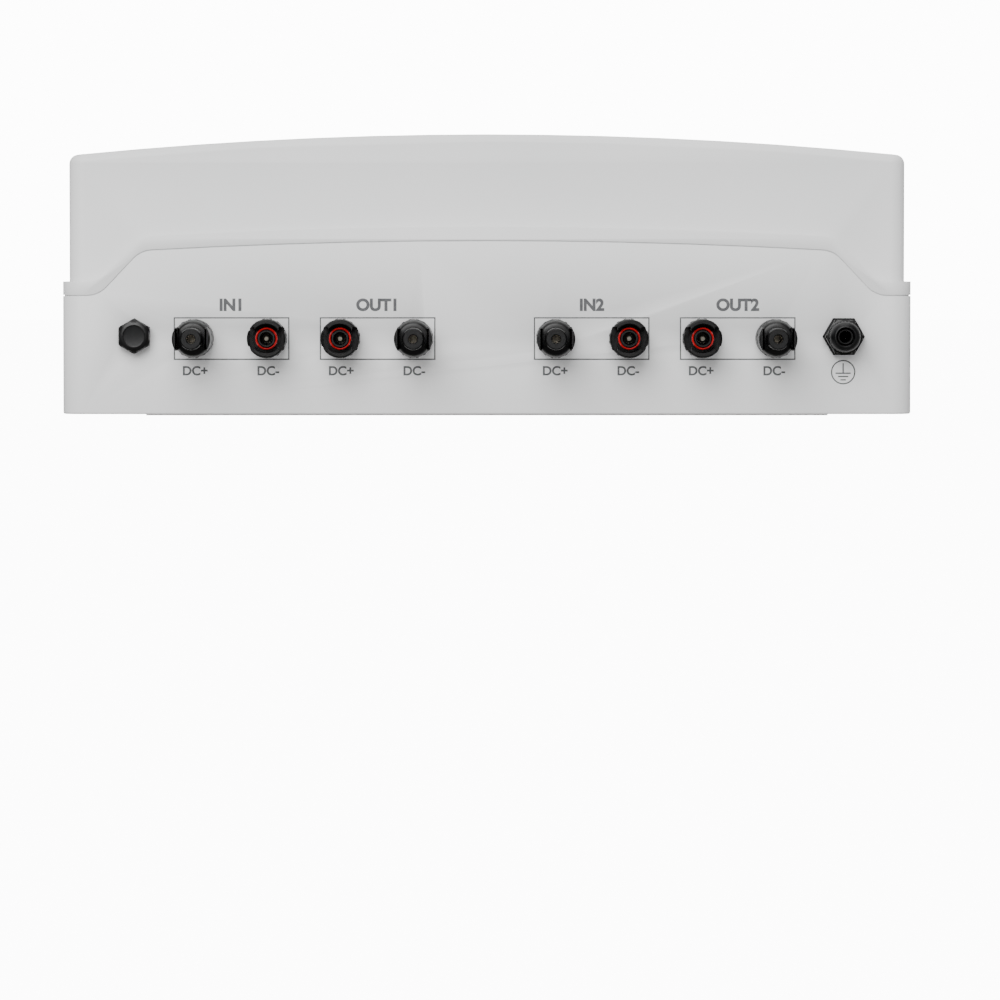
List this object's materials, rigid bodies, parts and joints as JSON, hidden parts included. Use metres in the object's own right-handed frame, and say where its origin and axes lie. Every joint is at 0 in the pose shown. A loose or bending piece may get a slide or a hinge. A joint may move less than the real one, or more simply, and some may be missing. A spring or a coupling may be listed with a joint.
{
  "type": "pv string protection box",
  "caption": "Wall-mounted arched enclosure with a smoked hinged door over DIN switch and surge modules, panel connectors for solar strings and an earth cable gland.",
  "frame": {"origin": "middle of the back mounting face", "axes": "+Z out of the wall, X along the width, the connectors' side faces -Y"},
  "size_m": [0.41, 0.3269, 0.1373],
  "materials": {
    "housing_white": "fine moulded ABS, light neutral grey-white, semi-matt",
    "faceplate_white": "moulded ABS, white, semi-matt",
    "smoked_window": "clear-moulded smoked polycarbonate, polished",
    "black_rubber": "matt EPDM",
    "zinc_steel": "bright zinc plate",
    "brass": "turned brass",
    "contact_metal": "tin-plated copper",
    "module_grey": "moulded polyamide, grey-green",
    "lever_green": "moulded polyamide, bright green",
    "clip_black": "moulded polyamide, black",
    "connector_black": "moulded PPO and polyamide, black, satin",
    "red_seal": "silicone, red",
    "vent_membrane_white": "expanded PTFE",
    "wire_red": "cross-linked insulation, red",
    "wire_black": "cross-linked insulation, black",
    "wire_earth": "PVC insulation, green and yellow"
  },
  "bodies": {
    "enclosure": {"back_box": "housing_white", "breaker_1_case": "module_grey", "breaker_1_terminal_screws": "zinc_steel", "breaker_2_case": "module_grey", "breaker_2_terminal_screws": "zinc_steel", "connector_mouth_seals": "red_seal", "connector_nuts": "connector_black", "connector_panel_seals": "black_rubber", "cover_screws": "zinc_steel", "cover_seal": "black_rubber", "din_rail_lower": "zinc_steel", "din_rail_upper": "zinc_steel", "door_hinge_pins": "zinc_steel", "earth_bar": "brass", "earth_bar_holder": "clip_black", "earth_bar_screws": "zinc_steel", "earth_wires": "wire_earth", "faceplate_screws": "zinc_steel", "front_cover": "housing_white", "gland_body": "connector_black", "gland_lock_nut": "connector_black", "gland_panel_seal": "black_rubber", "in_1_minus_connector": "connector_black", "in_1_plus_connector": "connector_black", "in_2_minus_connector": "connector_black", "in_2_plus_connector": "connector_black", "input_wires": "wire_red", "link_wires": "wire_black", "module_faceplate": "faceplate_white", "out_1_minus_connector": "connector_black", "out_1_plus_connector": "connector_black", "out_2_minus_connector": "connector_black", "out_2_plus_connector": "connector_black", "output_wires": "wire_black", "pin_contacts": "contact_metal", "rail_screws": "zinc_steel", "screw_inserts": "brass", "socket_contacts": "contact_metal", "surge_arrester_1_base": "module_grey", "surge_arrester_1_cartridges": "lever_green", "surge_arrester_1_terminal_screws": "zinc_steel", "surge_arrester_2_base": "module_grey", "surge_arrester_2_cartridges": "lever_green", "surge_arrester_2_terminal_screws": "zinc_steel", "vent_membrane": "vent_membrane_white", "vent_plug_body": "connector_black", "vent_plug_nut": "connector_black", "vent_plug_seal": "black_rubber"},
    "door": {"window_door": "smoked_window", "door_gaskets": "black_rubber"},
    "breaker_1_handle": {"breaker_1_lever": "lever_green"},
    "breaker_2_handle": {"breaker_2_lever": "lever_green"},
    "clip_1": {"din_clip_1": "clip_black"},
    "clip_2": {"din_clip_2": "clip_black"},
    "clip_3": {"din_clip_3": "clip_black"},
    "clip_4": {"din_clip_4": "clip_black"},
    "gland_insert": {"gland_clamp_insert": "black_rubber"},
    "gland_nut": {"gland_dome_nut": "connector_black"}
  },
  "joints": [
    {"name": "door_swing", "type": "hinge", "parent": "enclosure", "child": "door", "pos_m": [0.1996, 0, 0.1164], "axis": [0, 1, 0], "range_deg": [0, 100]},
    {"name": "breaker_1_switch", "type": "hinge", "parent": "enclosure", "child": "breaker_1_handle", "pos_m": [-0.054, -0.041, 0.116], "axis": [1, 0, 0], "range_deg": [0, 34]},
    {"name": "breaker_2_switch", "type": "hinge", "parent": "enclosure", "child": "breaker_2_handle", "pos_m": [0.054, -0.041, 0.116], "axis": [1, 0, 0], "range_deg": [0, 34]},
    {"name": "din_clip_1_release", "type": "slide", "parent": "enclosure", "child": "clip_1", "axis": [0, -1, 0], "range_m": [0, 0.004]},
    {"name": "din_clip_2_release", "type": "slide", "parent": "enclosure", "child": "clip_2", "axis": [0, -1, 0], "range_m": [0, 0.004]},
    {"name": "din_clip_3_release", "type": "slide", "parent": "enclosure", "child": "clip_3", "axis": [0, 1, 0], "range_m": [0, 0.004]},
    {"name": "din_clip_4_release", "type": "slide", "parent": "enclosure", "child": "clip_4", "axis": [0, 1, 0], "range_m": [0, 0.004]},
    {"name": "gland_travel", "type": "slide", "parent": "enclosure", "child": "gland_insert", "axis": [0, -1, 0], "range_m": [0, 0.0031]},
    {"name": "gland_nut_turn", "type": "hinge", "parent": "gland_insert", "child": "gland_nut", "pos_m": [0.1718, -0.1425, 0.039], "axis": [0, -1, 0], "range_deg": [0, 720]}
  ],
  "couplings": [
    {"joint": "gland_travel", "follows": "gland_nut_turn", "m_per_rad": 0.00023873}
  ]
}
